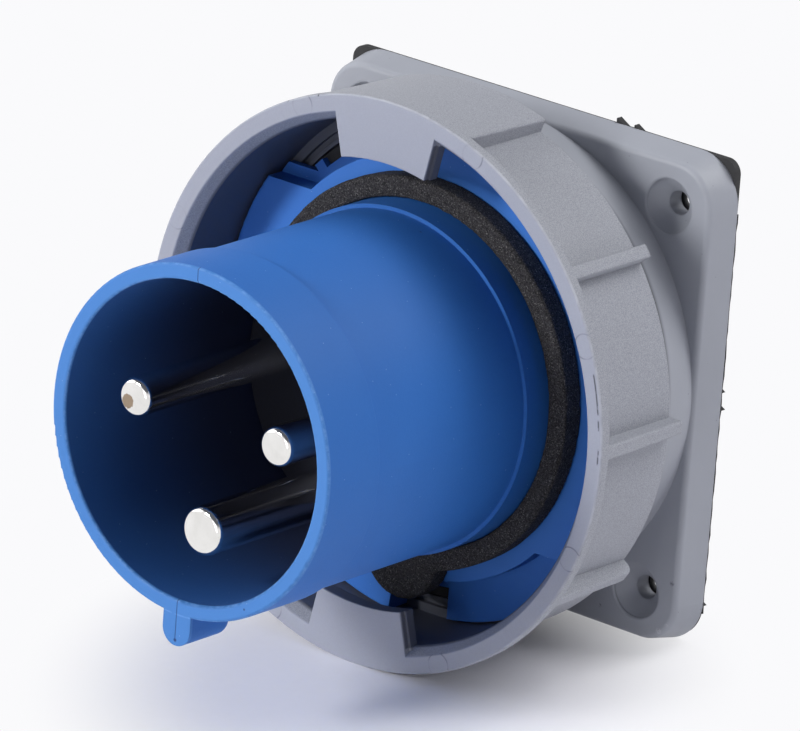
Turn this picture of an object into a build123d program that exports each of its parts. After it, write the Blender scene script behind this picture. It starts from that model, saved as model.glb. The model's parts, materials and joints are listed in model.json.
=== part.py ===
from build123d import *
import os
from math import atan2, cos, degrees, radians, sin, tan

# Industrial panel plug: an appliance inlet with a bayonet locking ring, 63 A, two poles and earth.
# Millimetres. The origin is the middle of the screw pattern on the panel face, +Z is up and the
# sleeve points along -Y. Sketches are laid out around the sleeve's axis, which lies a little higher.
# Heights are counted from the panel face outwards, and angles from +X, anticlockwise from the front.

# Panel gasket, sharper at its two upper corners, with ragged bits on two edges
gasket_side_inset = 1.1
gasket_end_inset = 0.45
gasket_thickness = 1.5
gasket_upper_corner = 3.0
gasket_lower_corner = 8.0
gasket_bit_sides = 3
gasket_upper_bits = {19.8: 1.6, 24.1: 1.2}
gasket_right_bits = {2.9: 0.9, -0.7: 1.2, -42.2: 0.9}

# Flange, its middle a little below the sleeve's axis
axis_rise = 0.95
flange_side_margin = 1.9
flange_end_margin = 2.4
flange_thickness = 7.3
flange_draft = 11.5
flange_corner = 10.0
flange_edge_round = 1.3

# Countersunk mounting holes
hole_side_distance = 11.6
hole_end_distance = 10.8
hole_diameter = 5.0
pocket_diameter = 11.2
pocket_straight = 0.6
pocket_cone_depth = 3.0
pocket_edge = 0.4

# Neck behind the ring
neck_reach = 24.0
neck_wall = 3.2
neck_web = 3.0
neck_web_width = 6.8
thrust_collar_height = 1.6
thrust_collar_width = 3.0

# Flat seal on the end of the neck
neck_seal_thickness = 1.3
neck_seal_inner_margin = 0.4
neck_seal_outer_margin = 0.2

# Plate of the blue moulding
plate_overhang = 3.9
plate_thickness = 5.8
plate_low_thickness = 1.5
plate_edge_round = 0.5
hub_margin = 3.2
ledge_width = 2.55
gap_floor_line = 29.0
gap_open_line = 31.5
upper_gap_end_angle = 95.0
lower_step_line = 30.0
lower_open_line = 7.1
lower_gap_end_angle = 265.0
stop_tab_angle = 136.0
stop_tab_width = 2.5
stop_tab_reach = 2.0
stop_tab_height = 1.5

# Sleeve
sleeve_reach = 70.8
sleeve_bore_radius = 32.35
sleeve_wall = 2.45
sleeve_band_height = 0.7
sleeve_band_length = 15.0
sleeve_foot_height = 0.8
sleeve_foot_length = 11.3
sleeve_lip_round = 0.6

# Key under the sleeve
key_width = 7.0
key_height = 6.3
key_length = 13.0
key_rear_round = 2.5

# Tail of the blue moulding, behind the plate
tail_wall = 6.15
tail_length = 5.3
tail_clearance = 0.3

# Foam ring
foam_thickness = 5.2
foam_width = 4.6
foam_clearance = 0.1
foam_bulge_radius = 9.2
foam_bulge_angle = 271.8
foam_bulge_offset = 2.3

# Locking ring
ring_clearance = 0.3
ring_length = 25.8
ring_plate_gap = 0.5
ring_wall = 1.75
ring_flange_thickness = 3.1
ring_groove_offset = 0.9
ring_groove_width = 1.3
ring_groove_depth = 1.2
ring_lip_height = 3.65
ring_lip_thickness = 2.4
ring_mouth_width = 1.9
ring_mouth_depth = 2.8
ring_edge_round = 0.4

# Ribs and pads outside the ring, lower at the rear than at the lip
rib_width = 2.85
rib_rear_height = 3.15
rib_angles = (37.4, 1.7, -33.2)
rib_corner_round = 2.0
rib_edge_round = 0.5
pad_rear_height = 2.85
pad_centre_angle = 89.9
pad_half_angle = 18.3
pad_edge_round = 0.5

# Lugs inside the ring
lug_centre_angle = 91.4
lug_half_angle = 13.3
lug_reach = 7.2
lug_thickness = 3.5
lug_step_angle = 0.6
lug_step_depth = 1.4
ring_turns = 2

# Contact pins
phase_pin_diameter = 8.0
phase_pin_offset = 18.25
phase_pin_height = 3.35
phase_pin_setback = 3.9
pin_root_step = 0.5
earth_pin_diameter = 10.0
earth_pin_drop = 19.5
earth_pin_setback = 5.2
pin_tip_round = 1.3
pin_clearance = 0.1
pin_collar_height = 1.0
pin_collar_length = 17.0
pin_seal_thickness = 1.0
barrel_radius = 7.0
barrel_length = 14.5
barrel_chamfer = 0.8
wire_bore_radius = 4.0
wire_bore_depth = 14.0

# Terminal screws
terminal_screw_radius = 2.5
terminal_screw_length = 5.5
terminal_screw_pitch = 5.4
terminal_screw_first = 3.2
terminal_screw_proud = 1.2
terminal_socket_width = 2.5
terminal_socket_depth = 1.5

# Contact carrier
carrier_front_reach = 16.9
carrier_clearance = 0.3
carrier_flange_thickness = 3.0
carrier_edge_round = 0.8
carrier_seal_thickness = 1.0
carrier_seal_width = 1.4

# Retainer plate behind the carrier
retainer_thickness = 2.5
retainer_lobe_margin = 4.0

# Small screws: thread radius, head radius, head height, grip and slot
shroud_screw = {"thread": 2.0, "head": 3.2, "height": 2.5, "bite": 4.2, "first": 60.0}
carrier_screw = {"thread": 1.5, "head": 2.5, "height": 1.8, "bite": 4.0, "first": 30.0}
retainer_screw = {"thread": 1.5, "head": 2.6, "height": 1.8, "bite": 7.0, "first": 90.0}
retainer_screw_circle = 11.0
shroud_screw_count = 4
carrier_screw_count = 3
retainer_screw_count = 3
screw_hole_clearance = 0.2
screw_hole_extra = 0.5
slot_width = 0.9
slot_depth = 0.9

# Heights that follow from the sizes above
flange_back = gasket_thickness
flange_front = flange_back + flange_thickness
neck_front = flange_back + neck_reach
web_back = neck_front - neck_web
plate_back = neck_front + neck_seal_thickness
plate_front = plate_back + plate_thickness
plate_low = plate_back + plate_low_thickness
sleeve_mouth = plate_front + sleeve_reach
tail_back = plate_back - tail_length
foam_front = plate_front + foam_thickness
ring_back = plate_back - ring_clearance - ring_flange_thickness
ring_front = ring_back + ring_length
thrust_collar_front = ring_back - ring_clearance
carrier_front = plate_front + carrier_front_reach
carrier_seat = tail_back - carrier_seal_thickness
carrier_back = carrier_seat - carrier_flange_thickness
collar_front = carrier_back + pin_collar_length
barrel_back = carrier_back - barrel_length
retainer_back = carrier_back - retainer_thickness

# Radii that follow, from the sleeve's bore outwards
sleeve_radius = sleeve_bore_radius + sleeve_wall
sleeve_band_radius = sleeve_radius + sleeve_band_height
sleeve_foot_radius = sleeve_radius + sleeve_foot_height
key_reach = sleeve_band_radius + key_height
tail_radius = sleeve_bore_radius + tail_wall
foam_inner_radius = sleeve_foot_radius + foam_clearance
foam_radius = foam_inner_radius + foam_width
hub_radius = foam_radius + hub_margin
ledge_radius = hub_radius + ledge_width
web_bore_radius = tail_radius + tail_clearance
neck_bore_radius = web_bore_radius + neck_web_width
neck_radius = neck_bore_radius + neck_wall
plate_radius = neck_radius + plate_overhang
ring_neck_radius = neck_radius + ring_clearance
ring_bore_radius = plate_radius + ring_plate_gap
ring_wall_radius = ring_bore_radius + ring_wall
ring_lip_radius = ring_wall_radius + ring_lip_height
ring_mouth_radius = ring_bore_radius + ring_mouth_width
lug_inner_radius = ring_bore_radius - lug_reach
carrier_radius = sleeve_bore_radius - carrier_clearance
pin_collar_radius = barrel_radius + pin_collar_height
chamber_radius = pin_collar_radius + pin_clearance
shroud_screw_circle = (web_bore_radius + neck_bore_radius) / 2
carrier_screw_circle = (sleeve_bore_radius + tail_radius) / 2
neck_seal_inner = shroud_screw_circle + shroud_screw["thread"] + neck_seal_inner_margin

# Flange and its screw pattern, which follow from the neck
flange_width = 2 * (neck_radius + flange_side_margin)
flange_tall = 2 * (neck_radius + flange_end_margin)
hole_across = flange_width / 2 - hole_side_distance
hole_up = flange_tall / 2 - hole_end_distance

# Places of the three pins, seen from the front
line_place = (-phase_pin_offset, phase_pin_height)
neutral_place = (phase_pin_offset, phase_pin_height)
earth_place = (0, -earth_pin_drop)
pin_places = (line_place, neutral_place, earth_place)

# Profile plane: X is the radius and Y the height above the panel
profile_plane = Plane(origin=(0, 0, axis_rise), x_dir=(1, 0, 0), z_dir=(0, 0, -1))
sleeve_axis = Axis((0, 0, axis_rise), (0, 1, 0))
cut_margin = 1.0


def front_plane(height):
    # Plane parallel to the panel that looks outwards, its middle on the sleeve's axis
    return Plane(origin=(0, -height, axis_rise), x_dir=(1, 0, 0), z_dir=(0, -1, 0))


def profile(points):
    # Flat outline from (radius, height) corners
    return make_face(Polyline(*points, close=True))


def top_corners(outline):
    # The two corners at the outermost height
    return outline.vertices().sort_by(Axis.Y)[-2:]


def turned(points, top_round=0):
    # Solid of revolution, its outermost edges rounded
    outline = profile(points)
    if top_round > 0:
        outline = fillet(top_corners(outline), top_round)
    return revolve(profile_plane * outline, axis=sleeve_axis)


def tube(outer, inner, low, high):
    return turned([(inner, low), (outer, low), (outer, high), (inner, high)])


def disc(radius, low, high, place=(0, 0)):
    # Round solid that stands on the plane at the lower height
    sketch = front_plane(low) * Pos(place[0], place[1]) * Circle(radius)
    return extrude(sketch, amount=high - low)


def slab(outline, low, high):
    return extrude(front_plane(low) * outline, amount=high - low)


def polar(radius, angle):
    return (radius * cos(radians(angle)), radius * sin(radians(angle)))


def turned_by(shape, angle):
    # Same shape, turned anticlockwise about the sleeve's axis as seen from the front
    return Pos(0, 0, axis_rise) * Rot(0, -angle, 0) * Pos(0, 0, -axis_rise) * shape


def wedge(outer, start, end):
    # Flat pie slice from one angle to the next, its rim well outside the radius
    step = (end - start) / 4
    corners = [polar(2 * outer, start + step * index) for index in range(5)]
    return make_face(Polyline((0, 0), *corners, close=True))


def around(count, radius, first):
    return [polar(radius, first + 360 / count * step) for step in range(count)]


def panel_rectangle(side_inset, end_inset):
    # Rectangle around the middle of the screw pattern
    return Pos(0, -axis_rise) * Rectangle(flange_width - 2 * side_inset, flange_tall - 2 * end_inset)


def hole_places():
    return [(x, z - axis_rise) for x in (-hole_across, hole_across) for z in (-hole_up, hole_up)]


def make_flange_gasket():
    # Sheet with a round window and a hole under each screw hole
    outline = panel_rectangle(gasket_side_inset, gasket_end_inset)
    outline = fillet(outline.vertices().sort_by(Axis.Y)[:2], gasket_lower_corner)
    outline = fillet(outline.vertices().sort_by(Axis.Y)[-2:], gasket_upper_corner)
    top_edge = flange_tall / 2 - gasket_end_inset - axis_rise
    right_edge = flange_width / 2 - gasket_side_inset
    for place, radius in gasket_upper_bits.items():
        outline += Pos(place, top_edge) * RegularPolygon(radius, gasket_bit_sides)
    for place, radius in gasket_right_bits.items():
        outline += Pos(right_edge, place - axis_rise) * RegularPolygon(radius, gasket_bit_sides)
    sheet = slab(outline, 0, gasket_thickness)
    sheet -= disc(neck_bore_radius, 0, gasket_thickness)
    for place in hole_places():
        sheet -= disc(hole_diameter / 2, 0, gasket_thickness, place)
    return sheet


def make_hole_cutter(place):
    # Screw hole with a conical seat and a broken edge at the face
    hole = hole_diameter / 2
    rim = pocket_diameter / 2
    cone_top = flange_front - pocket_straight
    outline = profile([
        (0, flange_back - cut_margin),
        (hole, flange_back - cut_margin),
        (hole, cone_top - pocket_cone_depth),
        (rim, cone_top),
        (rim, flange_front - pocket_edge / 2),
        (rim + pocket_edge, flange_front),
        (rim + pocket_edge, flange_front + cut_margin),
        (0, flange_front + cut_margin),
    ])
    cutter = revolve(profile_plane * outline, axis=sleeve_axis)
    return Pos(place[0], 0, place[1]) * cutter


def make_flange_housing():
    # Drafted flange, its front edge rounded
    outline = panel_rectangle(0, 0)
    outline = fillet(outline.vertices(), flange_corner)
    flange = extrude(front_plane(flange_back) * outline, amount=flange_thickness, taper=flange_draft)
    front_edges = flange.faces().sort_by(Axis.Y)[0].edges()
    flange = fillet(front_edges, flange_edge_round)
    # Neck with the collar that carries the ring from behind
    neck = disc(neck_radius, flange_back, neck_front)
    collar_back = thrust_collar_front - thrust_collar_width
    collar_radius = neck_radius + thrust_collar_height
    collar = turned([
        (0, collar_back - thrust_collar_height),
        (neck_radius, collar_back - thrust_collar_height),
        (collar_radius, collar_back),
        (collar_radius, thrust_collar_front),
        (0, thrust_collar_front),
    ])
    body = flange + neck + collar
    # Open back and the bore that the blue tail passes through
    body -= disc(neck_bore_radius, flange_back, web_back)
    body -= disc(web_bore_radius, web_back, neck_front)
    for place in hole_places():
        body -= make_hole_cutter(place)
    # Clearance holes for the screws that hold the blue moulding
    for place in around(shroud_screw_count, shroud_screw_circle, shroud_screw["first"]):
        hole_radius = shroud_screw["thread"] + screw_hole_clearance
        body -= disc(hole_radius, web_back, neck_front, place)
    return body


def make_neck_seal():
    outer = neck_radius - neck_seal_outer_margin
    return tube(outer, neck_seal_inner, neck_front, plate_back)


def plate_cutters():
    # Upper left: floor first lowered, then open up to the end behind the upper lug
    reach = plate_radius + cut_margin
    upper = wedge(plate_radius, upper_gap_end_angle, 180)
    upper &= Pos(0, gap_floor_line + reach / 2) * Rectangle(2 * reach, reach)
    upper_open = wedge(plate_radius, upper_gap_end_angle, 180)
    upper_open &= Pos(0, gap_open_line + reach / 2) * Rectangle(2 * reach, reach)
    # Lower right: floor lowered below a level line, then open up to the end behind the lower lug
    lower = wedge(plate_radius, lower_gap_end_angle, 360)
    lower &= Pos(0, -lower_step_line - reach / 2) * Rectangle(2 * reach, reach)
    lower_open = wedge(plate_radius, lower_gap_end_angle, 360)
    lower_open &= Pos(lower_open_line - reach / 2, -reach / 2) * Rectangle(reach, reach)
    return upper, upper_open, lower, lower_open


def make_plate():
    plate = disc(plate_radius, plate_back, plate_front)
    plate = fillet(plate.edges().filter_by(GeomType.CIRCLE).sort_by(Axis.Y)[0], plate_edge_round)
    upper, upper_open, lower, lower_open = plate_cutters()
    top = plate_front + cut_margin
    hub = Circle(hub_radius)
    ledge = Circle(ledge_radius)
    for outline in (upper, lower):
        plate -= slab(outline - hub, plate_low, top)
    for outline in (upper_open, lower_open):
        plate -= slab(outline - ledge, plate_back - cut_margin, top)
    # Small tab that stands in the upper gap, its root inside the ledge
    tab_length = ledge_width / 2 + stop_tab_reach
    tab = Pos(ledge_radius + stop_tab_reach - tab_length / 2, 0) * Rectangle(tab_length, stop_tab_width)
    tab = Rot(0, 0, stop_tab_angle) * tab
    plate += slab(tab, plate_back, plate_back + stop_tab_height)
    return plate


def make_sleeve():
    band_back = sleeve_mouth - sleeve_band_length
    foot_front = plate_front + sleeve_foot_length
    return turned([
        (sleeve_bore_radius, plate_back),
        (sleeve_foot_radius, plate_back),
        (sleeve_foot_radius, foot_front),
        (sleeve_radius, foot_front),
        (sleeve_radius, band_back - sleeve_band_height),
        (sleeve_band_radius, band_back),
        (sleeve_band_radius, sleeve_mouth),
        (sleeve_bore_radius, sleeve_mouth),
    ], sleeve_lip_round)


def make_key():
    # U-shaped key under the mouth, its rear corner rounded
    half = key_width / 2
    centre = key_reach - half
    root = (sleeve_bore_radius + sleeve_radius) / 2
    outline = Pos(0, -centre) * Circle(half)
    outline += Pos(0, -(centre + root) / 2) * Rectangle(key_width, centre - root)
    key = slab(outline, sleeve_mouth - key_length, sleeve_mouth)
    rear_edges = key.faces().sort_by(Axis.Y)[-1].edges().filter_by(GeomType.CIRCLE)
    return fillet(rear_edges, key_rear_round)


def make_plug_shroud():
    # Plate with the tail that centres it in the neck, open in the middle
    body = make_plate() + disc(tail_radius, tail_back, plate_back)
    body -= disc(sleeve_bore_radius, tail_back - cut_margin, plate_front + cut_margin)
    body += make_sleeve()
    body += make_key()
    # Blind holes for the screws from behind
    for place in around(shroud_screw_count, shroud_screw_circle, shroud_screw["first"]):
        depth = shroud_screw["bite"] + screw_hole_extra
        body -= disc(shroud_screw["thread"], plate_back, plate_back + depth, place)
    for place in around(carrier_screw_count, carrier_screw_circle, carrier_screw["first"]):
        depth = carrier_screw["bite"] + screw_hole_extra
        body -= disc(carrier_screw["thread"], tail_back, tail_back + depth, place)
    return body


def make_face_gasket():
    # Strip of foam, its lapped ends swelling out at the lower left
    bulge_place = polar(foam_inner_radius + foam_bulge_offset, foam_bulge_angle)
    outline = Circle(foam_radius)
    outline += Pos(bulge_place[0], bulge_place[1]) * Circle(foam_bulge_radius)
    outline -= Circle(foam_inner_radius)
    return slab(outline, plate_front, foam_front)


def make_ring_body():
    flange_front_face = ring_back + ring_flange_thickness
    groove_floor = flange_front_face - ring_groove_depth
    groove_inner = ring_neck_radius + ring_groove_offset
    groove_outer = groove_inner + ring_groove_width
    lip_back = ring_front - ring_lip_thickness
    return turned([
        (ring_neck_radius, ring_back),
        (ring_wall_radius, ring_back),
        (ring_wall_radius, lip_back),
        (ring_lip_radius, lip_back),
        (ring_lip_radius, ring_front),
        (ring_mouth_radius, ring_front),
        (ring_bore_radius, ring_front - ring_mouth_depth),
        (ring_bore_radius, flange_front_face),
        (groove_outer, flange_front_face),
        (groove_outer, groove_floor),
        (groove_inner, groove_floor),
        (groove_inner, flange_front_face),
        (ring_neck_radius, flange_front_face),
    ], ring_edge_round)


def ring_relief(rear_height):
    # Outline of what stands on the wall: as high as the lip in front, lower at the rear
    root = ring_bore_radius + ring_wall / 2
    lip_back = ring_front - ring_lip_thickness
    rear = ring_wall_radius + rear_height
    return [(root, ring_back), (rear, ring_back), (ring_lip_radius, lip_back), (root, lip_back)]


def make_rib(rear_round):
    # Rib along the wall, from the lip to the rear edge
    outline = profile(ring_relief(rib_rear_height))
    if rear_round > 0:
        outline = fillet(outline.vertices().sort_by(Axis.Y)[:2].sort_by(Axis.X)[-1], rear_round)
    rib = extrude(profile_plane * outline, amount=rib_width / 2, both=True)
    side_faces = rib.faces().filter_by(Axis.Z)
    outer_edges = [face.edges().filter_by(GeomType.LINE).sort_by(Axis.X)[-1] for face in side_faces]
    return fillet(outer_edges, rib_edge_round)


def make_pad():
    # Raised sector, the edges of its two ends rounded
    block = turned(ring_relief(pad_rear_height))
    sector = wedge(ring_lip_radius, pad_centre_angle - pad_half_angle, pad_centre_angle + pad_half_angle)
    pad = block & slab(sector, ring_back, ring_front)
    ends = [face for face in pad.faces() if face.geom_type == GeomType.PLANE and abs(face.normal_at().Y) < 0.5]
    outer_edges = [face.edges().sort_by(lambda edge: radius_of(edge.center()))[-1] for face in ends]
    return fillet(outer_edges, pad_edge_round)


def radius_of(point):
    # Distance from the sleeve's axis
    return (point.X ** 2 + (point.Z - axis_rise) ** 2) ** 0.5


def make_lug():
    # Lug that points at the sleeve: its front layer runs into the lip, its rear layer is wider
    back = ring_front - lug_thickness
    middle = ring_front - lug_step_depth
    front_root = (ring_mouth_radius + ring_lip_radius) / 2
    rear_root = ring_bore_radius + ring_wall / 2
    solid = Part()
    for half_angle, root, low, high in (
        (lug_half_angle + lug_step_angle, rear_root, back, middle),
        (lug_half_angle, front_root, middle, ring_front),
    ):
        sector = wedge(root, lug_centre_angle - half_angle, lug_centre_angle + half_angle)
        outline = sector & (Circle(root) - Circle(lug_inner_radius))
        solid += slab(outline, low, high)
    return solid


def make_bayonet_ring():
    ring = make_ring_body()
    for turn in range(ring_turns):
        half_turn = 360 / ring_turns * turn
        for angle in rib_angles:
            rear_round = rib_corner_round if angle == rib_angles[-1] else 0
            ring += turned_by(make_rib(rear_round), angle + half_turn)
        ring += turned_by(make_pad(), half_turn)
        ring += turned_by(make_lug(), half_turn)
    return ring


def make_pin(place, diameter, tip):
    # Turned pin: tip, shank, collar, barrel with the wire bore from behind
    radius = diameter / 2
    seat = collar_front
    corners = [
        (0, barrel_back),
        (barrel_radius - barrel_chamfer, barrel_back),
        (barrel_radius, barrel_back + barrel_chamfer),
        (barrel_radius, carrier_back),
        (pin_collar_radius, carrier_back),
        (pin_collar_radius, seat),
        (radius + pin_root_step, seat),
        (radius + pin_root_step, carrier_front),
        (radius, carrier_front),
        (radius, tip),
        (0, tip),
    ]
    outline = profile(corners)
    tip_corner = outline.vertices().sort_by(Axis.Y)[-2:].sort_by(Axis.X)[-1]
    outline = fillet(tip_corner, pin_tip_round)
    pin = revolve(profile_plane * outline, axis=sleeve_axis)
    pin -= disc(wire_bore_radius, barrel_back, barrel_back + wire_bore_depth)
    pin = Pos(place[0], 0, place[1]) * pin
    # Threaded side holes for the terminal screws, taken at the screw's own size
    for screw in terminal_screw_bodies(place, True):
        pin -= screw
    return pin


def terminal_screw_bodies(place, plain):
    # Two set screws in a row, pointing away from the middle of the plug
    outward = degrees(atan2(place[1], place[0])) if place[0] == 0 else (0 if place[0] > 0 else 180)
    outer = barrel_radius + terminal_screw_proud
    screws = []
    for row in range(2):
        height = barrel_back + terminal_screw_first + terminal_screw_pitch * row
        inner_end = Plane(origin=(outer - terminal_screw_length, -height, axis_rise), z_dir=(1, 0, 0))
        screw = extrude(inner_end * Circle(terminal_screw_radius), amount=terminal_screw_length)
        if not plain:
            outer_end = Plane(origin=(outer, -height, axis_rise), z_dir=(1, 0, 0))
            socket = outer_end * RegularPolygon(terminal_socket_width / 2, 6)
            screw -= extrude(socket, amount=-terminal_socket_depth)
        screws.append(Pos(place[0], 0, place[1]) * turned_by(screw, outward))
    return screws


def make_pin_seal(place, diameter):
    inner = diameter / 2 + pin_root_step + pin_clearance
    seal = tube(pin_collar_radius, inner, collar_front, collar_front + pin_seal_thickness)
    return Pos(place[0], 0, place[1]) * seal


def make_contact_carrier():
    # Plug of plastic in the sleeve with a flange against the tail
    flange_radius = tail_radius - carrier_clearance
    body = turned([
        (0, carrier_back),
        (flange_radius, carrier_back),
        (flange_radius, carrier_seat),
        (carrier_radius, carrier_seat),
        (carrier_radius, carrier_front - carrier_edge_round),
        (carrier_radius - carrier_edge_round, carrier_front),
        (0, carrier_front),
    ])
    for place, diameter in zip(pin_places, (phase_pin_diameter, phase_pin_diameter, earth_pin_diameter)):
        chamber_top = collar_front + pin_seal_thickness
        body -= disc(chamber_radius, carrier_back, chamber_top, place)
        body -= disc(diameter / 2 + pin_root_step + pin_clearance, chamber_top, carrier_front, place)
    for place in around(carrier_screw_count, carrier_screw_circle, carrier_screw["first"]):
        body -= disc(carrier_screw["thread"] + screw_hole_clearance, carrier_back, carrier_seat, place)
    for place in around(retainer_screw_count, retainer_screw_circle, retainer_screw["first"]):
        depth = retainer_screw["bite"] + screw_hole_extra
        body -= disc(retainer_screw["thread"], carrier_back, carrier_back + depth, place)
    return body


def make_carrier_seal():
    inner = sleeve_bore_radius
    return tube(inner + carrier_seal_width, inner, carrier_seat, tail_back)


def make_pin_retainer():
    # Three lobes around the barrels, joined in the middle
    lobe = Circle(barrel_radius + retainer_lobe_margin).edge()
    outline = make_hull([Pos(x, z) * lobe for x, z in pin_places])
    for place in pin_places:
        outline -= Pos(place[0], place[1]) * Circle(barrel_radius + pin_clearance)
    for place in around(retainer_screw_count, retainer_screw_circle, retainer_screw["first"]):
        outline -= Pos(place[0], place[1]) * Circle(retainer_screw["thread"] + screw_hole_clearance)
    return slab(outline, retainer_back, carrier_back)


def make_screws(screw, count, circle, head_seat, thread_end):
    # Group of equal slotted screws, heads towards the back
    screws = []
    for place in around(count, circle, screw["first"]):
        body = disc(screw["thread"], head_seat, thread_end, place)
        body += disc(screw["head"], head_seat - screw["height"], head_seat, place)
        slot = Pos(place[0], place[1]) * Rectangle(2 * screw["head"], slot_width)
        body -= slab(slot, head_seat - screw["height"], head_seat - screw["height"] + slot_depth)
        screws.append(body)
    return screws


def as_one(shapes):
    # Group of separate solids that share one node
    return Compound(children=[solid for shape in shapes for solid in shape.solids()])


def main():
    os.makedirs("parts", exist_ok=True)
    phase_tip = sleeve_mouth - phase_pin_setback
    earth_tip = sleeve_mouth - earth_pin_setback
    nodes = {
        "flange_gasket": make_flange_gasket(),
        "flange_housing": make_flange_housing(),
        "neck_seal": make_neck_seal(),
        "plug_shroud": make_plug_shroud(),
        "face_gasket": make_face_gasket(),
        "bayonet_ring": make_bayonet_ring(),
        "contact_carrier": make_contact_carrier(),
        "carrier_seal": make_carrier_seal(),
        "line_pin": make_pin(line_place, phase_pin_diameter, phase_tip),
        "neutral_pin": make_pin(neutral_place, phase_pin_diameter, phase_tip),
        "earth_pin": make_pin(earth_place, earth_pin_diameter, earth_tip),
        "line_pin_seal": make_pin_seal(line_place, phase_pin_diameter),
        "neutral_pin_seal": make_pin_seal(neutral_place, phase_pin_diameter),
        "earth_pin_seal": make_pin_seal(earth_place, earth_pin_diameter),
        "pin_retainer": make_pin_retainer(),
        "retainer_screws": as_one(make_screws(
            retainer_screw, retainer_screw_count, retainer_screw_circle, retainer_back,
            carrier_back + retainer_screw["bite"])),
        "carrier_screws": as_one(make_screws(
            carrier_screw, carrier_screw_count, carrier_screw_circle, carrier_back,
            tail_back + carrier_screw["bite"])),
        "shroud_screws": as_one(make_screws(
            shroud_screw, shroud_screw_count, shroud_screw_circle, web_back,
            plate_back + shroud_screw["bite"])),
        "line_terminal_screws": as_one(terminal_screw_bodies(line_place, False)),
        "neutral_terminal_screws": as_one(terminal_screw_bodies(neutral_place, False)),
        "earth_terminal_screws": as_one(terminal_screw_bodies(earth_place, False)),
    }
    for name, shape in nodes.items():
        export_step(shape, "parts/" + name + ".step")


main()
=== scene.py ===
import bmesh
import bpy
import json
import math
from mathutils import Matrix, Vector, noise


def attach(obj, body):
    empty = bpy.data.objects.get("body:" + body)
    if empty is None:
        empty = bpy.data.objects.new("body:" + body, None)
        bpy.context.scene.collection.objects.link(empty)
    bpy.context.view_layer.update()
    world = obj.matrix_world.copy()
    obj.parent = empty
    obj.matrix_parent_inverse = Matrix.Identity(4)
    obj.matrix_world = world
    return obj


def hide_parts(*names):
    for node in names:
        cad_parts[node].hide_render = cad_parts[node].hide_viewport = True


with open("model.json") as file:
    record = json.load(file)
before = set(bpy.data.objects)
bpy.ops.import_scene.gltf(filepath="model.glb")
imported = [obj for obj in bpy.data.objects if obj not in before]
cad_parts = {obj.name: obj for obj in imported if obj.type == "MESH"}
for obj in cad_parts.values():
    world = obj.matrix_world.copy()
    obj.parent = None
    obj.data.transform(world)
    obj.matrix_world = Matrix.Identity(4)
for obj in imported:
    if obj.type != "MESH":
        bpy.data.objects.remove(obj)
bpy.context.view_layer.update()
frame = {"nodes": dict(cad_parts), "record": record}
print("stage: frame loaded")

mm = 0.001
axisRise = 0.95 * mm  # of the sleeve's axis above the middle of the screw pattern


def linear(red, green, blue):
    # Linear colour of an 8-bit screen colour
    def channel(value):
        value = value / 255
        return value / 12.92 if value <= 0.04045 else ((value + 0.055) / 1.055) ** 2.4
    return (channel(red), channel(green), channel(blue), 1.0)


class Socket:
    # Shader output that takes part in plain arithmetic
    def __init__(self, graph, output):
        self.graph = graph
        self.output = output

    def maths(self, operation, *others):
        return self.graph.node("ShaderNodeMath", dict(enumerate((self, *others))), operation=operation)

    def __add__(self, other):
        return self.maths("ADD", other)

    def __mul__(self, other):
        return self.maths("MULTIPLY", other)

    __radd__ = __add__
    __rmul__ = __mul__

    def __sub__(self, other):
        return self.maths("SUBTRACT", other)

    def __rsub__(self, other):
        return self * -1.0 + other

    def __truediv__(self, other):
        return self.maths("DIVIDE", other)

    def __rtruediv__(self, other):
        return self.graph.node("ShaderNodeMath", {0: other, 1: self}, operation="DIVIDE")

    def larger(self, other):
        return self.maths("MAXIMUM", other)

    def ramp(self, edge, width, first, last):
        # The first value below the edge, the last one above it, soft over the width
        return self.graph.node("ShaderNodeMapRange", {
            "Value": self, "From Min": edge - width / 2, "From Max": edge + width / 2,
            "To Min": first, "To Max": last,
        }, interpolation_type="SMOOTHSTEP")

    def above(self, edge, width):
        return self.ramp(edge, width, 0.0, 1.0)

    def below(self, edge, width):
        return self.ramp(edge, width, 1.0, 0.0)

    def near(self, centre, width):
        # 1 on the centre, 0 a width away from it
        return (self - centre).maths("ABSOLUTE").below(width / 2, width)

    def between(self, low, high, width):
        return self.above(low, width) * self.below(high, width)


class Graph:
    # Node tree of a material or of the world
    def __init__(self, tree):
        self.tree = tree

    def fill(self, target, values):
        # Numbers, colours or links for a node's inputs
        for key, value in values.items():
            if isinstance(value, Socket):
                self.tree.links.new(value.output, target.inputs[key])
            else:
                target.inputs[key].default_value = value

    def node(self, kind, values=None, out=0, **settings):
        made = self.tree.nodes.new(kind)
        for key, value in settings.items():
            setattr(made, key, value)
        self.fill(made, values or {})
        return Socket(self, made.outputs[out])

    def parts(self, vector):
        # X, Y and Z of a vector
        first = self.node("ShaderNodeSeparateXYZ", {0: vector})
        return [Socket(self, output) for output in first.output.node.outputs]

    def rays(self):
        # 1 for the camera's rays, and 1 for those that metal and glass send on
        camera, glossy, through = (
            self.node("ShaderNodeLightPath", out=name)
            for name in ("Is Camera Ray", "Is Glossy Ray", "Is Transmission Ray"))
        return camera, glossy.larger(through)

    def mix(self, factor, first, second):
        # Inputs 0, 6 and 7 and output 2 are the ones for colours
        return self.node("ShaderNodeMix", {0: factor, 6: first, 7: second}, out=2, data_type="RGBA")


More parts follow.
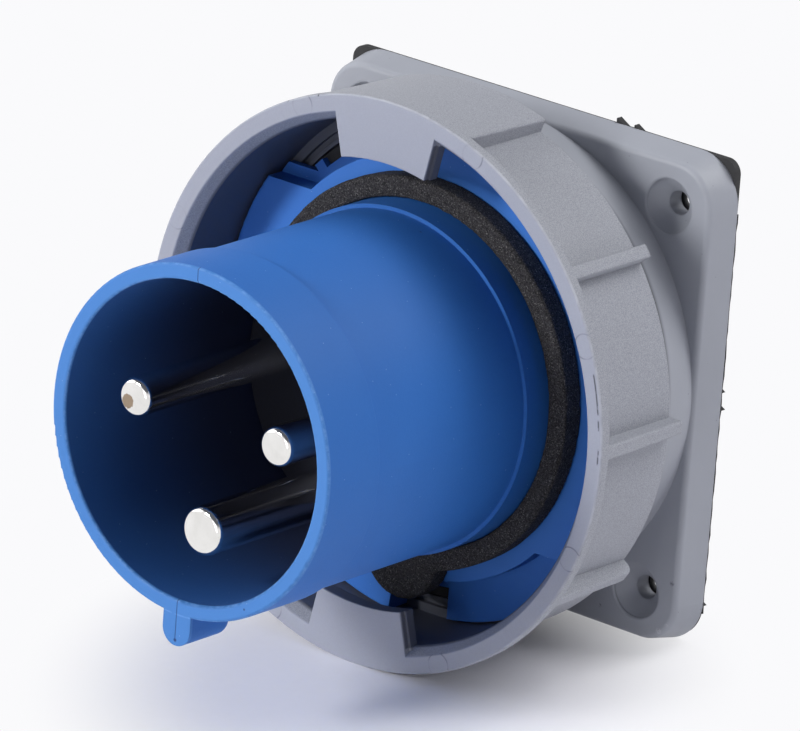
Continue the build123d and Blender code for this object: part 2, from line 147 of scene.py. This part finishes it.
class Look(Graph):
    # Material with one Principled surface
    def __init__(self, name):
        self.material = bpy.data.materials.new(name)
        self.material.use_nodes = True
        super().__init__(self.material.node_tree)
        self.surface = self.tree.nodes["Principled BSDF"]
        self.place = self.node("ShaderNodeTexCoord", out="Object")

    def polar(self):
        # Distance from the sleeve's axis, angle from +X as seen from the front, and height
        across, along, upward = self.parts(self.place)
        rise = upward - axisRise
        radius = (across * across + rise * rise).maths("SQRT")
        return radius, rise.maths("ARCTAN2", across), along * -1.0

    def distance(self, place):
        return self.node("ShaderNodeVectorMath", {0: self.place, 1: place}, out="Value", operation="DISTANCE")

    def noise(self, scale, detail=3.0, roughness=0.55):
        return self.node("ShaderNodeTexNoise", {
            "Vector": self.place, "Scale": scale, "Detail": detail, "Roughness": roughness,
        })

    def dots(self, scale, size):
        # 1 inside small scattered dots, 0 elsewhere
        reach = self.node("ShaderNodeTexVoronoi", {"Vector": self.place, "Scale": scale})
        return reach.below(size, size * 0.5)

    def put(self, **values):
        # Values for the surface by input name, with underscores for blanks
        self.fill(self.surface, {key.replace("_", " "): value for key, value in values.items()})

    def bump(self, height, depth, edge=0.0):
        # Relief of the surface, with sharp edges rounded over a small radius
        values = {"Height": height, "Distance": depth}
        if edge > 0:
            values["Normal"] = self.node("ShaderNodeBevel", {"Radius": edge}, samples=4)
        self.put(Normal=self.node("ShaderNodeBump", values))


# Each "Edge" is the value in the middle of a soft step and the width of that step

greySettings = {
    "light": linear(163, 166, 175),
    "dark": linear(155, 158, 167),
    "cloudScale": 60.0,
    "grainScale": 5200.0,
    "grainDepth": 0.02 * mm,
    "roughness": 0.42,
    "roughnessSpread": 0.12,
    "edge": 0.35 * mm,
    # Painted shade for the neck under the ring
    "inside": linear(30, 31, 35),
    "insideLevel": 16.0 * mm,
    "insideFade": 2.0 * mm,
    "scuffLight": linear(190, 192, 198),
    "scuffDark": linear(92, 94, 102),
    "scuffScale": 2400.0,
    "scuffEdge": (0.45, 0.2),
    "scuffFade": 0.5 * mm,
    "scuffStrength": 0.8,
    # X, Y, Z and radius in millimetres
    "darkSpots": ((48.0, -8.8, -36.3, 0.45), (30.5, -8.8, -46.0, 0.3)),
    "lightSpots": ((45.6, -8.8, -47.1, 0.6), (47.4, -8.8, -45.4, 0.35)),
    "fleckScale": 260.0,
    "fleckSize": 0.035,
    "fleckStrength": 0.5,
}


def makeGreyMoulding():
    settings = greySettings
    look = Look("grey_moulding_look")
    grain = look.noise(settings["grainScale"], 2.0)
    base = look.mix(look.noise(settings["cloudScale"], 2.0), settings["light"], settings["dark"])
    ragged = look.noise(settings["scuffScale"], 2.0).above(*settings["scuffEdge"])
    for spots, colour in (("darkSpots", "scuffDark"), ("lightSpots", "scuffLight")):
        for x, y, z, size in settings[spots]:
            spot = look.distance((x * mm, y * mm, z * mm)).below(size * mm, settings["scuffFade"]) * ragged
            base = look.mix(spot * settings["scuffStrength"], base, settings[colour])
    flecks = look.dots(settings["fleckScale"], settings["fleckSize"])
    base = look.mix(flecks * settings["fleckStrength"], base, settings["scuffDark"])
    # Painted shade: the neck under the ring is darkened, as the gap there lies in shade
    height = look.parts(look.place)[1] * -1.0
    neckShade = height.above(settings["insideLevel"], settings["insideFade"])
    look.put(
        Base_Color=look.mix(neckShade, base, settings["inside"]),
        Roughness=grain * settings["roughnessSpread"] + settings["roughness"],
    )
    look.bump(grain, settings["grainDepth"], settings["edge"])
    return look.material


ringSettings = {
    "light": linear(170, 172, 180),
    "dark": linear(136, 139, 148),
    "speckScale": 4300.0,
    "speckEdge": (0.5, 0.45),
    "fade": 0.2 * mm,
    "grainDepth": 0.04 * mm,
    "roughness": 0.5,
    "roughnessSpread": 0.15,
    "edge": 0.3 * mm,
    "lip": linear(157, 160, 173),
    "lipLevel": 48.9 * mm,
    "lipStrength": 0.85,
    "lipSmoothness": 0.8,
    # Painted shade for the ring's bore
    "inside": linear(92, 95, 106),
    "insideRadius": 53.5 * mm,
    "insideLevels": (24.2 * mm, 48.8 * mm),
    "insideFade": 0.4 * mm,
    "line": linear(96, 99, 112),
    "circles": 8,
    "firstCircle": math.radians(23.2),
    "circleRing": 57.0 * mm,
    "circleRadius": 2.5 * mm,
    "circleWidth": 0.25 * mm,
    "circleFadeScale": 240.0,
    "circleFadeEdge": (0.5, 0.25),
    "circleFaintest": 0.15,
    "circleDepth": 1.2,
    "circleStrength": 0.7,
    "worn": linear(196, 199, 208),
    "wornRadius": 58.3 * mm,
    "wornLevel": 48.8 * mm,
    "wornScale": 140.0,
    "wornEdge": (0.5, 0.3),
    "wornStrength": 0.45,
    "nick": linear(34, 35, 40),
    "nickRing": 57.8 * mm,
    "nickWidth": 0.3 * mm,
    "nickScale": 900.0,
    "nickEdge": (0.4, 0.25),
    "nickStrength": 0.9,
    # Angles in degrees from +X
    "nickArcs": ((9.7, 17.6), (6.6, 8.5), (-0.3, 2.8)),
    "nickFade": 0.6,
    "tickAngles": (116.7, 108.6),
    "tickRadius": 58.2 * mm,
}


def makeRingCircles(look, radius, angle):
    # Ejector circles on the lip, at equal steps round a turn
    settings = ringSettings
    step = 2 * math.pi / settings["circles"]
    turned = (angle - settings["firstCircle"]) / step + 0.5
    aside = (turned.maths("FRACT") - 0.5) * step * settings["circleRing"]
    inward = radius - settings["circleRing"]
    reach = (aside * aside + inward * inward).maths("SQRT")
    faded = look.noise(settings["circleFadeScale"], 1.0).above(*settings["circleFadeEdge"])
    faded = faded * (1 - settings["circleFaintest"]) + settings["circleFaintest"]
    return reach.near(settings["circleRadius"], settings["circleWidth"]) * faded


def makeRingNicks(look, radius, angle):
    # Nicks along the lip's front edge and two ticks across it
    settings = ringSettings
    ring, width = settings["nickRing"], settings["nickWidth"]
    marks = []
    for first, last in settings["nickArcs"]:
        arc = angle.between(*(math.radians(value) for value in (first, last, settings["nickFade"])))
        marks.append(arc * radius.near(ring, width))
    for tick in settings["tickAngles"]:
        mark = ((angle - math.radians(tick)) * ring).near(0.0, width)
        marks.append(mark * radius.above(settings["tickRadius"], settings["fade"]))
    nicks = marks[0]
    for mark in marks[1:]:
        nicks = nicks.larger(mark)
    return nicks * look.noise(settings["nickScale"], 2.0).above(*settings["nickEdge"])


def makeRingMoulding():
    settings = ringSettings
    look = Look("ring_moulding_look")
    radius, angle, height = look.polar()
    speck = look.noise(settings["speckScale"], 2.0, 0.7)
    onLip = height.above(settings["lipLevel"], settings["fade"])
    speckled = look.mix(speck.above(*settings["speckEdge"]), settings["dark"], settings["light"])
    base = look.mix(onLip * settings["lipStrength"], speckled, settings["lip"])
    # Painted shade: the ring's bore is darkened where shade falls inside it
    low, high = settings["insideLevels"]
    inside = radius.below(settings["insideRadius"], settings["insideFade"])
    base = look.mix(inside * height.between(low, high, settings["insideFade"]), base, settings["inside"])
    circles = makeRingCircles(look, radius, angle) * onLip
    base = look.mix(circles * settings["circleStrength"], base, settings["line"])
    # Handling has polished the round between the lip's face and its side
    fade = settings["fade"]
    worn = radius.above(settings["wornRadius"], fade) * height.above(settings["wornLevel"], fade)
    worn = worn * look.noise(settings["wornScale"], 3.0, 0.7).above(*settings["wornEdge"])
    base = look.mix(worn * settings["wornStrength"], base, settings["worn"])
    nicks = makeRingNicks(look, radius, angle) * onLip
    look.put(
        Base_Color=look.mix(nicks * settings["nickStrength"], base, settings["nick"]),
        Roughness=speck * settings["roughnessSpread"] + settings["roughness"],
    )
    grain = speck * (1.0 - onLip * settings["lipSmoothness"])
    look.bump(grain - circles * settings["circleDepth"], settings["grainDepth"], settings["edge"])
    return look.material


blueSettings = {
    "light": linear(48, 110, 188),
    "dark": linear(40, 99, 176),
    "cloudScale": 45.0,
    "fineScale": 1300.0,
    "fineShare": 0.3,
    "fineDepth": 0.6,
    "grainScale": 3800.0,
    "grainDepth": 0.03 * mm,
    "roughness": 0.5,
    "roughnessSpread": 0.16,
    "specular": 0.3,
    "edge": 0.25 * mm,
    "fade": 0.4 * mm,
    "sharpFade": 0.2 * mm,
    # Painted light: a lighter blue for the plate, standing in for fill light in its shade
    "plate": linear(60, 120, 206),
    "plateLevel": 33.0 * mm,
    # Painted highlight: a lighter blue for the lip's front face, for the front light on it
    "lip": linear(70, 126, 194),
    "lipLevel": 102.7 * mm,
    "lipStrength": 0.9,
    # Painted shade for the sleeve's bore
    "bore": linear(42, 46, 70),
    "boreRadius": 32.6 * mm,
    "boreLevels": (56.0 * mm, 104.0 * mm),
    "boreStrength": (0.35, 0.6),  # at the mouth, and what the depth adds
    "speck": linear(170, 200, 240),
    "speckScale": 420.0,
    "speckSize": 0.035,
    "speckStrength": 0.6,
    "worn": linear(120, 165, 225),
    "wornRims": ((32.5 * mm, 0.3 * mm), (35.35 * mm, 0.25 * mm)),  # radius and width
    "wornScale": 700.0,
    "wornEdge": (0.52, 0.2),
    "wornStrength": 0.4,
    "line": linear(16, 34, 84),
    "lineWidth": 0.16 * mm,
    "lineStrength": 0.85,
    "lineDepth": 2.0,
    "topLineAngle": math.radians(90.8),
    "topLineRadius": 34.0 * mm,
    "keyLineReach": 40.7 * mm,
    # X, Y, Z and radius in millimetres
    "mouldSpots": ((-0.1, -103.4, -39.7, 0.35), (16.8, -103.4, -28.4, 0.2), (8.3, -47.3, 34.9, 0.25)),
    "mouldSpotFade": 0.3 * mm,
}


def makeBlueMarks(look, radius, angle, onLip):
    # Parting lines, across the lip at the top and down the key, and small moulding spots
    settings = blueSettings
    width = settings["lineWidth"]
    across = look.parts(look.place)[0]
    topLine = ((angle - settings["topLineAngle"]) * settings["topLineRadius"]).near(0.0, width)
    keyLine = (across + width).near(0.0, width) * radius.below(settings["keyLineReach"], settings["sharpFade"])
    # The first one only in the upper half of the lip, the second only in the lower half
    marks = (topLine * angle.above(0.5, 0.1)).larger(keyLine * angle.below(-0.5, 0.1)) * onLip
    for x, y, z, size in settings["mouldSpots"]:
        spot = look.distance((x * mm, y * mm, z * mm)).below(size * mm, settings["mouldSpotFade"])
        marks = marks.larger(spot)
    return marks


def makeBlueMoulding():
    settings = blueSettings
    look = Look("blue_moulding_look")
    radius, angle, height = look.polar()
    grain = look.noise(settings["grainScale"], 2.0)
    fine = look.noise(settings["fineScale"], 3.0, 0.6)
    clouds = look.noise(settings["cloudScale"]) * (1 - settings["fineShare"]) + fine * settings["fineShare"]
    base = look.mix(clouds, settings["light"], settings["dark"])
    # Painted light: the plate below the sleeve is a lighter blue, for fill light in its shade
    base = look.mix(height.below(settings["plateLevel"], settings["fade"]), base, settings["plate"])
    # Painted shade: the bore is darkened, more with its depth
    deep, shallow = settings["boreLevels"]
    atMouth, added = settings["boreStrength"]
    depth = height.below((deep + shallow) / 2, shallow - deep) * added + atMouth
    inBore = radius.below(settings["boreRadius"], settings["sharpFade"])
    base = look.mix(inBore * depth, base, settings["bore"])
    # Painted highlight: the lip's front face is made a lighter blue, for the front light on it
    onLip = height.above(settings["lipLevel"], settings["fade"])
    base = look.mix(onLip * settings["lipStrength"], base, settings["lip"])
    specks = look.dots(settings["speckScale"], settings["speckSize"])
    base = look.mix(specks * settings["speckStrength"], base, settings["speck"])
    # Worn rims of the mouth
    inner, outer = (radius.near(place, width) for place, width in settings["wornRims"])
    worn = look.noise(settings["wornScale"], 3.0, 0.7).above(*settings["wornEdge"])
    worn = inner.larger(outer) * onLip * worn
    base = look.mix(worn * settings["wornStrength"], base, settings["worn"])
    marks = makeBlueMarks(look, radius, angle, onLip)
    look.put(
        Base_Color=look.mix(marks * settings["lineStrength"], base, settings["line"]),
        Roughness=grain * settings["roughnessSpread"] + settings["roughness"],
        Specular_IOR_Level=settings["specular"],
    )
    relief = grain + fine * settings["fineDepth"] - marks * settings["lineDepth"]
    look.bump(relief, settings["grainDepth"], settings["edge"])
    return look.material


foamSettings = {
    "pit": linear(12, 12, 14),
    "cell": linear(60, 58, 61),
    "cellScale": 2700.0,
    "coarseScale": 900.0,
    "coarseShare": 0.2,
    "wallEdge": (0.5, 0.22),
    "depth": 0.3 * mm,
    "roughness": 0.88,
    "roughnessSpread": 0.1,
    "glint": linear(168, 164, 162),
    "glintScale": 3780.0,
    "glintEdge": (0.66, 0.1),
    "glintStrength": 0.35,
}


def makeFoam():
    settings = foamSettings
    look = Look("foam_look")
    cells = look.noise(settings["cellScale"], 2.0, 0.75)
    coarse = look.noise(settings["coarseScale"], 2.0)
    walls = cells * (1 - settings["coarseShare"]) + coarse * settings["coarseShare"]
    base = look.mix(walls.above(*settings["wallEdge"]), settings["pit"], settings["cell"])
    glints = look.noise(settings["glintScale"], 1.0).above(*settings["glintEdge"])
    look.put(
        Base_Color=look.mix(glints * settings["glintStrength"], base, settings["glint"]),
        Roughness=cells * settings["roughnessSpread"] + settings["roughness"],
    )
    look.bump(cells, settings["depth"])
    return look.material


nickelSettings = {
    "bright": (0.95, 0.94, 0.92, 1.0),
    "dull": (0.74, 0.73, 0.7, 1.0),
    "hazeScale": 220.0,
    "scratchScale": 4200.0,
    "scratchDepth": 0.004 * mm,
    "roughness": 0.06,
    "roughnessSpread": 0.08,
    "stain": linear(142, 124, 104),
    "stainPlace": (-19.48 * mm, -99.5 * mm, 3.3 * mm),
    "stainRadius": 1.4 * mm,
    "stainFade": 0.9 * mm,
    "stainScale": 2200.0,
    "stainRaggedness": 1.6,
    "stainEdge": (1.25, 0.12),
    "stainRoughness": 0.4,
    "stainCover": 0.7,
}


def makeNickel():
    settings = nickelSettings
    look = Look("nickel_look")
    haze = look.noise(settings["hazeScale"])
    patch = look.distance(settings["stainPlace"]).below(settings["stainRadius"], settings["stainFade"])
    ragged = look.noise(settings["stainScale"]) * settings["stainRaggedness"]
    stain = (patch + ragged).above(*settings["stainEdge"])
    base = look.mix(haze, settings["bright"], settings["dull"])
    roughness = haze * settings["roughnessSpread"] + stain * settings["stainRoughness"]
    look.put(
        Base_Color=look.mix(stain, base, settings["stain"]),
        Metallic=1.0 - stain * settings["stainCover"],
        Roughness=roughness + settings["roughness"],
    )
    look.bump(look.noise(settings["scratchScale"], 2.0), settings["scratchDepth"])
    return look.material


# Finishes with one grain: its scale and detail, two colours, roughness and its spread, depth, metal or not
plainSettings = {
    "carrier_moulding": {
        "scale": 3000.0, "detail": 2.0, "first": linear(16, 19, 38), "second": linear(12, 14, 28),
        "roughness": 0.5, "spread": 0.15, "depth": 0.03 * mm, "metallic": 0.0,
    },
    "seal_rubber": {
        "scale": 1800.0, "detail": 3.0, "first": linear(30, 30, 32), "second": linear(44, 44, 46),
        "roughness": 0.6, "spread": 0.2, "depth": 0.05 * mm, "metallic": 0.0,
    },
    "screw_steel": {
        "scale": 2600.0, "detail": 3.0, "first": (0.6, 0.6, 0.6, 1.0), "second": (0.48, 0.48, 0.49, 1.0),
        "roughness": 0.28, "spread": 0.2, "depth": 0.02 * mm, "metallic": 1.0,
    },
}


def makePlain(name):
    settings = plainSettings[name]
    look = Look(name + "_look")
    grain = look.noise(settings["scale"], settings["detail"])
    look.put(
        Base_Color=look.mix(grain, settings["first"], settings["second"]),
        Roughness=grain * settings["spread"] + settings["roughness"],
        Metallic=settings["metallic"],
    )
    look.bump(grain, settings["depth"])
    return look.material


looks = {
    "grey_moulding": makeGreyMoulding(),
    "ring_moulding": makeRingMoulding(),
    "blue_moulding": makeBlueMoulding(),
    "foam": makeFoam(),
    "pin_nickel": makeNickel(),
}
for finish in plainSettings:
    looks[finish] = makePlain(finish)
print("stage: materials made")

slotOfNode = {entry["node"]: entry["material_slot"] for entry in frame["record"]["subparts"]}
for name, node in frame["nodes"].items():
    node.data.materials.clear()
    node.data.materials.append(looks[slotOfNode[name]])
print("stage: frame nodes dressed")

foamGasketSettings = {
    "merge": 0.001 * mm,
    "voxel": 0.55 * mm,
    "softening": 2,
    "uneven": 0.14 * mm,
    "lumps": 300.0,
    "fill": 1.0,
}


def evaluatedMesh(piece):
    # Plain mesh of a piece as its modifiers leave it
    piece.data.update()
    bpy.context.view_layer.update()
    graph = bpy.context.evaluated_depsgraph_get()
    return bpy.data.meshes.new_from_object(piece.evaluated_get(graph))


def makeFoamGasket():
    # Cut foam ring: its edges are soft and a little uneven
    shell = bmesh.new()
    shell.from_mesh(frame["nodes"]["face_gasket"].data)
    bmesh.ops.remove_doubles(shell, verts=shell.verts, dist=foamGasketSettings["merge"])
    mesh = bpy.data.meshes.new("face_gasket_foam")
    shell.to_mesh(mesh)
    shell.free()
    piece = bpy.data.objects.new("face_gasket_foam", mesh)
    bpy.context.scene.collection.objects.link(piece)
    voxels = piece.modifiers.new("cells", "REMESH")
    voxels.mode = "VOXEL"
    voxels.voxel_size = foamGasketSettings["voxel"]
    voxels.use_smooth_shade = True
    softer = piece.modifiers.new("softening", "SMOOTH")
    softer.iterations = foamGasketSettings["softening"]
    finished = evaluatedMesh(piece)
    piece.modifiers.clear()
    piece.data = finished
    normals = [vertex.normal.copy() for vertex in finished.vertices]
    for vertex, normal in zip(finished.vertices, normals):
        lump = (noise.noise(vertex.co * foamGasketSettings["lumps"]) + 1) / 2
        vertex.co -= normal * (lump * foamGasketSettings["uneven"])
    finished.materials.clear()
    finished.materials.append(looks["foam"])
    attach(piece, "plug")
    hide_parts("face_gasket")


makeFoamGasket()
print("stage: foam gasket made")


class NodeTree:
    # Geometry Nodes tree with named sizes, run once on an empty mesh
    def __init__(self, name, sizes):
        self.name = name
        self.sizes = sizes
        self.tree = bpy.data.node_groups.new(name, "GeometryNodeTree")
        self.tree.interface.new_socket("Geometry", in_out="OUTPUT", socket_type="NodeSocketGeometry")
        self.identifiers = {}
        for key, value in sizes.items():
            kind = "NodeSocketInt" if isinstance(value, int) else "NodeSocketFloat"
            socket = self.tree.interface.new_socket(key, in_out="INPUT", socket_type=kind)
            self.identifiers[key] = socket.identifier
        self.entry = self.tree.nodes.new("NodeGroupInput")

    def size(self, key):
        return self.entry.outputs[key]

    def add(self, kind, values=None, **settings):
        made = self.tree.nodes.new(kind)
        for key, value in settings.items():
            setattr(made, key, value)
        for key, value in (values or {}).items():
            if isinstance(value, bpy.types.NodeSocket):
                self.tree.links.new(value, made.inputs[key])
            else:
                made.inputs[key].default_value = value
        return made

    def piece(self, geometry, material, body, slot):
        real = self.add("GeometryNodeRealizeInstances", {"Geometry": geometry})
        dressed = self.add("GeometryNodeSetMaterial", {"Geometry": real.outputs[0], "Material": material})
        leave = self.tree.nodes.new("NodeGroupOutput")
        self.tree.links.new(dressed.outputs[0], leave.inputs[0])
        made = bpy.data.objects.new(self.name, bpy.data.meshes.new(self.name))
        bpy.context.scene.collection.objects.link(made)
        modifier = made.modifiers.new(self.name, "NODES")
        modifier.node_group = self.tree
        for key, value in self.sizes.items():
            modifier[self.identifiers[key]] = value
        finished = evaluatedMesh(made)
        made.modifiers.clear()
        made.data = finished
        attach(made, body)
        return made


holeLipSettings = {
    "tight": 0.6 * mm,
    "front": 1.2 * mm,
    "back": 0.3 * mm,
    "segments": 40,
}


def makeHoleLips():
    # Rubber that closes in around each screw, inside the gasket's four holes
    pattern = [mount for mount in frame["record"]["mounts"] if mount["kind"] == "bolt_pattern"][0]["dims"]
    hole = pattern["hole_r_mm"] * mm
    tree = NodeTree("gasket_hole_lips", {
        "Across": pattern["spacing_x_mm"] * mm,
        "Up": pattern["spacing_y_mm"] * mm,
        "Middle Radius": hole - holeLipSettings["tight"] / 2,
        "Lip Width": holeLipSettings["tight"],
        "Lip Depth": holeLipSettings["front"] - holeLipSettings["back"],
        "Segments": holeLipSettings["segments"],
    })
    places = tree.add("GeometryNodeMeshGrid", {
        "Size X": tree.size("Across"), "Size Y": tree.size("Up"), "Vertices X": 2, "Vertices Y": 2,
    })
    path = tree.add("GeometryNodeCurvePrimitiveCircle", {
        "Resolution": tree.size("Segments"), "Radius": tree.size("Middle Radius"),
    })
    section = tree.add("GeometryNodeCurvePrimitiveQuadrilateral", {
        "Width": tree.size("Lip Width"), "Height": tree.size("Lip Depth"),
    })
    lip = tree.add("GeometryNodeCurveToMesh", {"Curve": path.outputs[0], "Profile Curve": section.outputs[0]})
    lips = tree.add("GeometryNodeInstanceOnPoints", {"Points": places.outputs[0], "Instance": lip.outputs[0]})
    depth = (holeLipSettings["front"] + holeLipSettings["back"]) / 2
    stood = tree.add("GeometryNodeTransform", {
        "Geometry": lips.outputs[0], "Rotation": (math.pi / 2, 0.0, 0.0), "Translation": (0.0, -depth, 0.0),
    })
    tree.piece(stood.outputs[0], looks["seal_rubber"], "plug", "seal_rubber")


raggedEdgeSettings = {
    "side": 49.62 * mm,
    "low": -44.0 * mm,
    "high": 40.0 * mm,
    "points": 46,
    "thick": 0.3 * mm,
    "deep": 1.2 * mm,
    "offPanel": 0.1 * mm,
    "outward": 0.13 * mm,
    "seed": 7,
}


def makeRaggedEdge():
    # Torn edge of the gasket that stands out beside the flange
    tree = NodeTree("gasket_ragged_edge", {
        "Points": raggedEdgeSettings["points"],
        "Thick": raggedEdgeSettings["thick"],
        "Deep": raggedEdgeSettings["deep"],
        "Outward": raggedEdgeSettings["outward"],
        "Seed": raggedEdgeSettings["seed"],
    })
    side = raggedEdgeSettings["side"]
    forward = -raggedEdgeSettings["deep"] / 2 - raggedEdgeSettings["offPanel"]
    line = tree.add("GeometryNodeCurvePrimitiveLine", {
        "Start": (side, forward, raggedEdgeSettings["low"]), "End": (side, forward, raggedEdgeSettings["high"]),
    })
    stations = tree.add("GeometryNodeResampleCurve", {"Curve": line.outputs[0], "Count": tree.size("Points")})
    # Inputs 2 and 3 and output 1 are the ones for plain numbers
    torn = tree.add("FunctionNodeRandomValue", {2: -1.0, 3: 1.0, "Seed": tree.size("Seed")}, data_type="FLOAT")
    reach = tree.add("ShaderNodeMath", {0: torn.outputs[1], 1: tree.size("Outward")}, operation="MULTIPLY")
    shift = tree.add("ShaderNodeCombineXYZ", {"X": reach.outputs[0]})
    moved = tree.add("GeometryNodeSetPosition", {"Geometry": stations.outputs[0], "Offset": shift.outputs[0]})
    section = tree.add("GeometryNodeCurvePrimitiveQuadrilateral", {
        "Width": tree.size("Thick"), "Height": tree.size("Deep"),
    })
    strip = tree.add("GeometryNodeCurveToMesh", {
        "Curve": moved.outputs[0], "Profile Curve": section.outputs[0], "Fill Caps": True,
    })
    tree.piece(strip.outputs[0], looks["seal_rubber"], "plug", "seal_rubber")


makeHoleLips()
makeRaggedEdge()
print("stage: gasket details made")

floorSettings = {
    "ringFoot": Vector((0.0, -49.2 * mm, -57.65 * mm)),
    "flangeFoot": Vector((0.0, -1.5 * mm, -51.2 * mm)),
    "size": 6.0,
    "colour": linear(246, 245, 249),
    "shade": linear(243, 242, 247),
    "paperScale": 400.0,
    "roughness": 0.9,
    "roughnessSpread": 0.05,
    "specular": 0.1,
    "glow": linear(250, 250, 252),
    "shadowMiddle": (10.0 * mm, -50.0 * mm, -58.0 * mm),
    "shadowReach": (30.0 * mm, 74.0 * mm),
}


def floorDirections():
    # The plane goes through the two lines that the plug lies on
    along = (floorSettings["flangeFoot"] - floorSettings["ringFoot"]).normalized()
    return Vector((1.0, 0.0, 0.0)), along


def makeFloor():
    across, along = floorDirections()
    half = floorSettings["size"] / 2
    signs = ((-1, -1), (1, -1), (1, 1), (-1, 1))
    corners = [floorSettings["ringFoot"] + across * (half * x) + along * (half * y) for x, y in signs]
    mesh = bpy.data.meshes.new("floor")
    mesh.from_pydata([tuple(corner) for corner in corners], [], [(0, 1, 2, 3)])
    floor = bpy.data.objects.new("floor", mesh)
    bpy.context.scene.collection.objects.link(floor)
    look = Look("floor_look")
    paper = look.noise(floorSettings["paperScale"], 2.0)
    look.put(
        Base_Color=look.mix(paper, floorSettings["colour"], floorSettings["shade"]),
        Roughness=paper * floorSettings["roughnessSpread"] + floorSettings["roughness"],
        Specular_IOR_Level=floorSettings["specular"],
    )
    # Away from the shadow under the plug, the camera and reflections see the paper as plain white
    near, far = floorSettings["shadowReach"]
    away = look.distance(floorSettings["shadowMiddle"]).above((near + far) / 2, far - near)
    camera, mirrored = look.rays()
    glow = look.node("ShaderNodeEmission", {"Color": floorSettings["glow"], "Strength": 1.0})
    surface = Socket(look, look.surface.outputs[0])
    whole = look.node("ShaderNodeMixShader", {0: camera.larger(mirrored) * away, 1: surface, 2: glow})
    look.fill(look.tree.nodes["Material Output"], {"Surface": whole})
    mesh.materials.append(look.material)


makeFloor()
print("stage: floor made")

lampSettings = (
    # Name, azimuth from the plug's front towards +X, elevation, power, side
    ("behindRight", 135.0, 50.0, 15.5, 0.9),
    ("overhead", 150.0, 75.0, 6.0, 0.9),
    ("frontLeft", -22.0, 22.0, 18.0, 0.35),
    ("lowFront", 8.0, 4.0, 3.2, 0.7),
    ("left", -55.0, 20.0, 4.5, 0.9),
    ("farLeft", -95.0, 35.0, 4.0, 0.9),
    ("right", 90.0, 20.0, 2.2, 0.9),
)
lampDistance = 1.7
lampAim = Vector((0.0, -0.05, 0.0))


def makeLamps():
    for name, azimuth, elevation, power, side in lampSettings:
        data = bpy.data.lights.new(name, "AREA")
        data.shape = "SQUARE"
        data.size = side
        data.energy = power
        around, above = math.radians(azimuth), math.radians(elevation)
        away = Vector((
            math.sin(around) * math.cos(above), -math.cos(around) * math.cos(above), math.sin(above)))
        lamp = bpy.data.objects.new(name, data)
        turn = (away * -1.0).to_track_quat("-Z", "Y").to_matrix().to_4x4()
        lamp.matrix_world = Matrix.Translation(lampAim + away * lampDistance) @ turn
        bpy.context.scene.collection.objects.link(lamp)


worldSettings = {
    "seen": linear(247, 246, 249),
    "fill": (0.8, 0.85, 1.0, 1.0),
    "strength": 0.14,
    "bandTop": (0.2, 0.5),  # upward part of a ray's direction, where the band begins and ends to fade
}


def makeWorld():
    world = bpy.data.worlds.new("studio")
    bpy.context.scene.world = world
    world.use_nodes = True
    graph = Graph(world.node_tree)
    low, high = worldSettings["bandTop"]
    upward = graph.parts(graph.node("ShaderNodeTexCoord", out="Generated"))[2]
    # Metal shows the pale background too, up to a band above the horizon
    camera, mirrored = graph.rays()
    shown = camera.larger(mirrored * upward.below((low + high) / 2, high - low))
    plain = graph.tree.nodes["Background"]
    graph.fill(plain, {"Color": worldSettings["fill"], "Strength": worldSettings["strength"]})
    seen = graph.node("ShaderNodeBackground", {"Color": worldSettings["seen"]})
    whole = graph.node("ShaderNodeMixShader", {0: shown, 1: Socket(graph, plain.outputs[0]), 2: seen})
    graph.fill(graph.tree.nodes["World Output"], {"Surface": whole})


makeLamps()
makeWorld()
print("stage: light made")

cameraSettings = {
    "azimuth": 0.67780755,
    "elevation": 0.32898409,
    "roll": 0.07524804,
    "aim": Vector((13.894 * mm, -56.5 * mm, 8.579 * mm)),
    "distance": 1701.49 * mm,
    "focalPixels": 8700.64,
    "imageCentre": (402.98, 375.07),
    "imageSize": (800, 731),
    "sensor": 36.0,
    "farthest": 20.0,
}


def makeCamera():
    azimuth, elevation, roll = (cameraSettings[key] for key in ("azimuth", "elevation", "roll"))
    back = Vector((
        math.sin(azimuth) * math.cos(elevation), -math.cos(azimuth) * math.cos(elevation), math.sin(elevation)))
    right = Vector((math.cos(azimuth), math.sin(azimuth), 0.0))
    up = back.cross(right)
    rolledRight = right * math.cos(roll) + up * math.sin(roll)
    rolledUp = up * math.cos(roll) - right * math.sin(roll)
    width, height = cameraSettings["imageSize"]
    centreX, centreY = cameraSettings["imageCentre"]
    data = bpy.data.cameras.new("photo_camera")
    data.sensor_width = cameraSettings["sensor"]
    data.sensor_fit = "HORIZONTAL"
    data.lens = cameraSettings["focalPixels"] * cameraSettings["sensor"] / width
    data.shift_x = (width / 2 - centreX) / width
    data.shift_y = (centreY - height / 2) / width
    data.clip_end = cameraSettings["farthest"]
    camera = bpy.data.objects.new("photo_camera", data)
    bpy.context.scene.collection.objects.link(camera)
    place = cameraSettings["aim"] + back * cameraSettings["distance"]
    turn = Matrix((rolledRight, rolledUp, back)).transposed().to_4x4()
    camera.matrix_world = Matrix.Translation(place) @ turn
    bpy.context.scene.camera = camera


makeCamera()
bpy.context.scene.view_settings.view_transform = "Standard"
print("stage: camera made")
